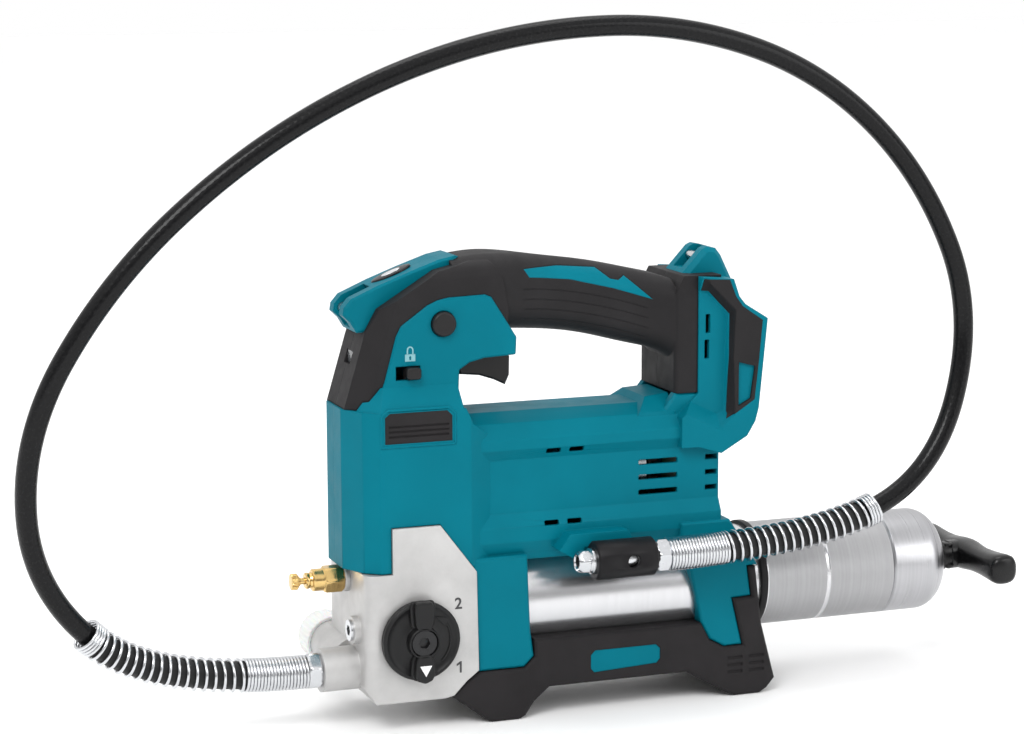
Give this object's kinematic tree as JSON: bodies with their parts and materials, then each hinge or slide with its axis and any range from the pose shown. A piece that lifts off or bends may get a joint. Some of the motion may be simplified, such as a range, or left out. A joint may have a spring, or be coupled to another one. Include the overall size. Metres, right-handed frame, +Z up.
{
  "type": "grease gun",
  "caption": "Battery grease gun: horizontal handle over a motor housing, die-cast pump head, grease barrel with pull rod, and a high-pressure hose with its coupler clipped at the side.",
  "frame": {"origin": "centre of the footprint, at the height of the feet", "axes": "+X to the rear, towards the T-handle, along the barrel; +Z up; -Y is the side with the pressure dial and the hose holder"},
  "size_m": [0.5662, 0.134, 0.376],
  "materials": {
    "teal_shell": "satin, fine texture",
    "soft_skin": "soft matt",
    "base_rubber": "matt",
    "badge_black": "gloss",
    "pin_steel": "ground",
    "screw_steel": "zinc plated",
    "lamp_clear": "clear",
    "black_plastic": "matt",
    "contact_brass": "bright",
    "board_green": "solder mask",
    "holder_rubber": "matt",
    "cast_metal": "blasted die casting",
    "dial_black": "satin",
    "screw_black": "black oxide",
    "valve_brass": "machined",
    "plated_steel": "zinc plated",
    "spring_steel": "bright",
    "cap_clear": "translucent, frosted",
    "trigger_black": "satin",
    "barrel_chrome": "bright",
    "cap_satin": "satin turned",
    "handle_black": "semi gloss",
    "hose_black": "gloss",
    "guard_wire": "bright wire"
  },
  "bodies": {
    "gun": {"badge": "badge_black", "barrel_cap": "cap_satin", "barrel_collar": "holder_rubber", "barrel_tube": "barrel_chrome", "base_guard": "base_rubber", "bleed_valve": "valve_brass", "check_ball": "pin_steel", "check_plug": "plated_steel", "check_spring": "spring_steel", "control_board": "board_green", "coupler": "plated_steel", "coupler_guard": "guard_wire", "crank_bearing": "pin_steel", "filler_cap": "cap_clear", "follower_spring": "spring_steel", "gear_case": "cast_metal", "grip_left": "soft_skin", "grip_right": "soft_skin", "head_bolts": "screw_steel", "hose": "hose_black", "hose_holder": "holder_rubber", "hose_nut": "plated_steel", "housing_left": "teal_shell", "housing_right": "teal_shell", "housing_screws": "screw_steel", "lamp_lens": "lamp_clear", "motor_bearings": "pin_steel", "motor_can": "plated_steel", "outlet_guard": "guard_wire", "plunger_seal": "base_rubber", "pump_head": "cast_metal", "rail_inserts": "teal_shell", "ring_gear": "pin_steel", "side_pads": "base_rubber", "strap_pins": "pin_steel", "switch_body": "black_plastic", "terminal_blades": "contact_brass", "terminal_block": "black_plastic", "trigger_spring": "spring_steel"},
    "crank": {"crank": "pin_steel", "planet_carrier": "pin_steel", "planet_pins": "pin_steel"},
    "armature": {"motor_armature": "pin_steel", "sun_gear": "pin_steel", "motor_fan": "black_plastic"},
    "planet_1": {"planet_gear_1": "pin_steel"},
    "planet_2": {"planet_gear_2": "pin_steel"},
    "planet_3": {"planet_gear_3": "pin_steel"},
    "plunger": {"plunger": "pin_steel", "yoke": "pin_steel"},
    "trigger": {"trigger": "trigger_black"},
    "lock_button": {"lock_button": "trigger_black"},
    "lock_slider": {"lock_slider": "trigger_black"},
    "dial": {"pressure_dial": "dial_black", "dial_screw": "screw_black", "dial_spindle": "pin_steel"},
    "bleed_stem": {"bleed_stem": "valve_brass"},
    "piston": {"follower_piston": "base_rubber"},
    "pull_rod": {"follower_rod": "plated_steel", "t_handle": "handle_black"}
  },
  "joints": [
    {"name": "crank_turn", "type": "hinge", "parent": "gun", "child": "crank", "pos_m": [-0.12, 0, 0.128], "axis": [1, 0, 0], "continuous": true},
    {"name": "motor_turn", "type": "hinge", "parent": "gun", "child": "armature", "pos_m": [-0.05, 0, 0.128], "axis": [1, 0, 0], "continuous": true},
    {"name": "planet_1_turn", "type": "hinge", "parent": "crank", "child": "planet_1", "pos_m": [-0.0935, 0, 0.13955], "axis": [1, 0, 0], "continuous": true},
    {"name": "planet_2_turn", "type": "hinge", "parent": "crank", "child": "planet_2", "pos_m": [-0.0935, -0.01, 0.12223], "axis": [1, 0, 0], "continuous": true},
    {"name": "planet_3_turn", "type": "hinge", "parent": "crank", "child": "planet_3", "pos_m": [-0.0935, 0.01, 0.12223], "axis": [1, 0, 0], "continuous": true},
    {"name": "plunger_stroke", "type": "slide", "parent": "gun", "child": "plunger", "axis": [0, 0, 1], "range_m": [-0.0045, 0.0045]},
    {"name": "trigger_pull", "type": "hinge", "parent": "gun", "child": "trigger", "pos_m": [-0.118, 0, 0.2], "axis": [0, -1, 0], "range_deg": [0, 8], "stiffness_Nm_per_rad": 0.8, "springref_deg": -5.73, "deforming": ["trigger_spring"]},
    {"name": "lock_button_press", "type": "slide", "parent": "gun", "child": "lock_button", "axis": [0, 1, 0], "range_m": [0, 0.0035], "stiffness_N_per_m": 400},
    {"name": "lock_slider_move", "type": "slide", "parent": "gun", "child": "lock_slider", "axis": [-1, 0, 0], "range_m": [0, 0.0035]},
    {"name": "pressure_dial_turn", "type": "hinge", "parent": "gun", "child": "dial", "pos_m": [-0.1472, -0.036, 0.0502], "axis": [0, -1, 0], "range_deg": [0, 180]},
    {"name": "bleed_stem_press", "type": "slide", "parent": "gun", "child": "bleed_stem", "axis": [1, 0, 0], "range_m": [0, 0.0025], "stiffness_N_per_m": 600},
    {"name": "follower_pull", "type": "slide", "parent": "gun", "child": "piston", "axis": [1, 0, 0], "range_m": [0, 0.215], "deforming": ["follower_spring"]},
    {"name": "handle_twist", "type": "hinge", "parent": "piston", "child": "pull_rod", "pos_m": [0.19, 0, 0.06], "axis": [1, 0, 0], "continuous": true}
  ],
  "couplings": [
    {"joint": "motor_turn", "follows": "crank_turn", "ratio": 5},
    {"joint": "planet_1_turn", "follows": "crank_turn", "ratio": -2.6667},
    {"joint": "planet_2_turn", "follows": "crank_turn", "ratio": -2.6667},
    {"joint": "planet_3_turn", "follows": "crank_turn", "ratio": -2.6667}
  ]
}
